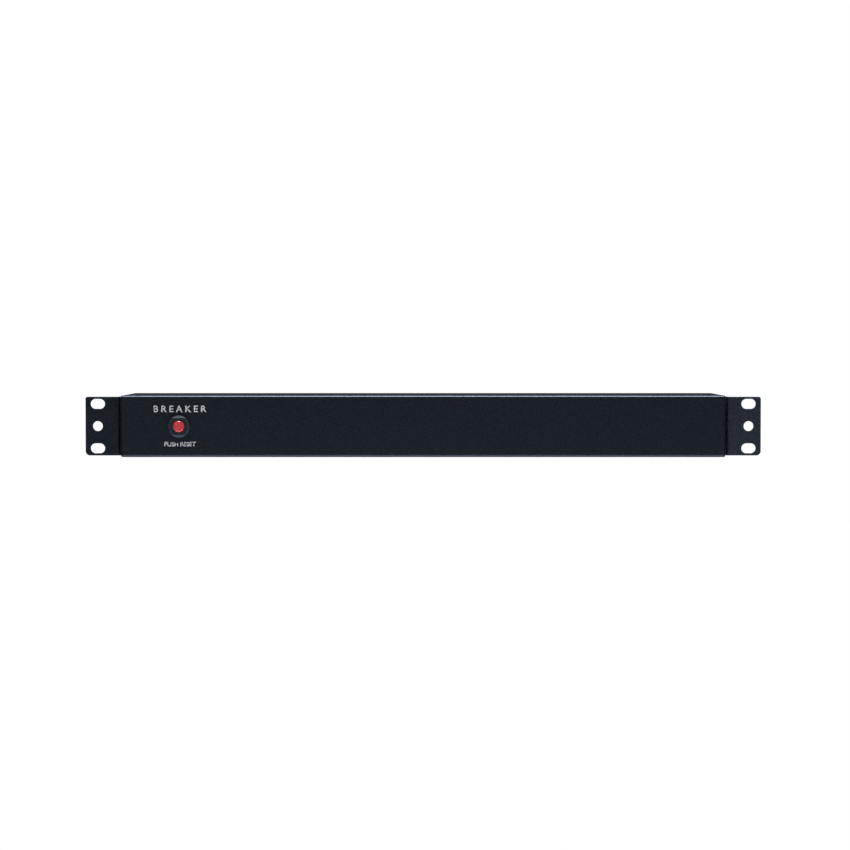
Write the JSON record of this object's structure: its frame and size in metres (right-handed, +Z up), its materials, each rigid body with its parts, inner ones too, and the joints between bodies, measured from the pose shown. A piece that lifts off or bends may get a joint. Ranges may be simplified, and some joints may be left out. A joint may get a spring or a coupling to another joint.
{
  "type": "rack power strip",
  "caption": "Rack-mount power strip: a flat steel housing between two slotted rack ears, with a push-to-reset breaker in front and grounded outlets behind.",
  "frame": {"origin": "centre of the rack hole pattern, on the plane where the ears meet the rack rails", "axes": "+X along the strip to the right end as seen from the front, +Y from the front to the back, +Z up"},
  "size_m": [0.4826, 0.1132, 0.044],
  "materials": {
    "powder_coat": "fine charcoal powder coat on folded steel, satin",
    "screw_steel": "black zinc-plated steel screw",
    "zinc_steel": "bright zinc-plated steel",
    "bus_brass": "stamped spring brass",
    "contact_silver": "silver-faced contact",
    "spring_steel": "bare spring steel",
    "outlet_plastic": "black moulded plastic, satin face",
    "breaker_plastic": "black moulded thermoset",
    "nut_plastic": "black moulded nut, semi-gloss",
    "red_plastic": "red moulded button, gloss",
    "gland_plastic": "black nylon",
    "gland_rubber": "black neoprene",
    "terminal_plastic": "blue nylon sleeve",
    "black_wire": "black PVC insulation",
    "green_wire": "green PVC insulation"
  },
  "bodies": {
    "strip": {"bottom_cover_screws": "screw_steel", "breaker_case": "breaker_plastic", "breaker_lid": "breaker_plastic", "breaker_lid_screws": "zinc_steel", "breaker_line_terminal": "bus_brass", "breaker_load_terminal": "bus_brass", "breaker_nut": "nut_plastic", "bus_cover": "breaker_plastic", "bus_cover_screws": "zinc_steel", "cover_clinch_nuts": "zinc_steel", "earth_nut": "zinc_steel", "earth_stud": "zinc_steel", "earth_washer": "zinc_steel", "earth_wire": "green_wire", "fixed_contact": "contact_silver", "flag_terminal": "terminal_plastic", "front_housing": "powder_coat", "gland_body": "gland_plastic", "gland_cap": "gland_plastic", "gland_locknut": "gland_plastic", "gland_seal": "gland_rubber", "ground_bus": "bus_brass", "left_clinch_nuts": "zinc_steel", "left_ear_screws": "screw_steel", "left_rack_ear": "powder_coat", "line_bus": "bus_brass", "load_wire": "black_wire", "neutral_bus": "bus_brass", "outlet_01": "outlet_plastic", "outlet_02": "outlet_plastic", "outlet_03": "outlet_plastic", "outlet_04": "outlet_plastic", "outlet_05": "outlet_plastic", "outlet_06": "outlet_plastic", "outlet_07": "outlet_plastic", "outlet_08": "outlet_plastic", "outlet_09": "outlet_plastic", "outlet_10": "outlet_plastic", "outlet_11": "outlet_plastic", "outlet_12": "outlet_plastic", "push_on_terminals": "terminal_plastic", "rear_panel": "powder_coat", "reset_spring": "spring_steel", "right_clinch_nuts": "zinc_steel", "right_ear_screws": "screw_steel", "right_rack_ear": "powder_coat", "ring_terminal": "zinc_steel", "top_cover_screws": "screw_steel"},
    "button": {"reset_button": "red_plastic"},
    "blade": {"bimetal_blade": "spring_steel", "moving_contact": "contact_silver"}
  },
  "joints": [
    {"name": "reset_button_slide", "type": "slide", "parent": "strip", "child": "button", "axis": [0, -1, 0], "range_m": [0, 0.0035], "deforming": ["reset_spring"]},
    {"name": "blade_hinge", "type": "hinge", "parent": "strip", "child": "blade", "pos_m": [-0.174, 0.0185, -0.00375], "axis": [-1, 0, 0], "range_deg": [0, 8]}
  ],
  "couplings": [
    {"joint": "blade_hinge", "follows": "reset_button_slide", "rad_per_m": 39.8}
  ]
}
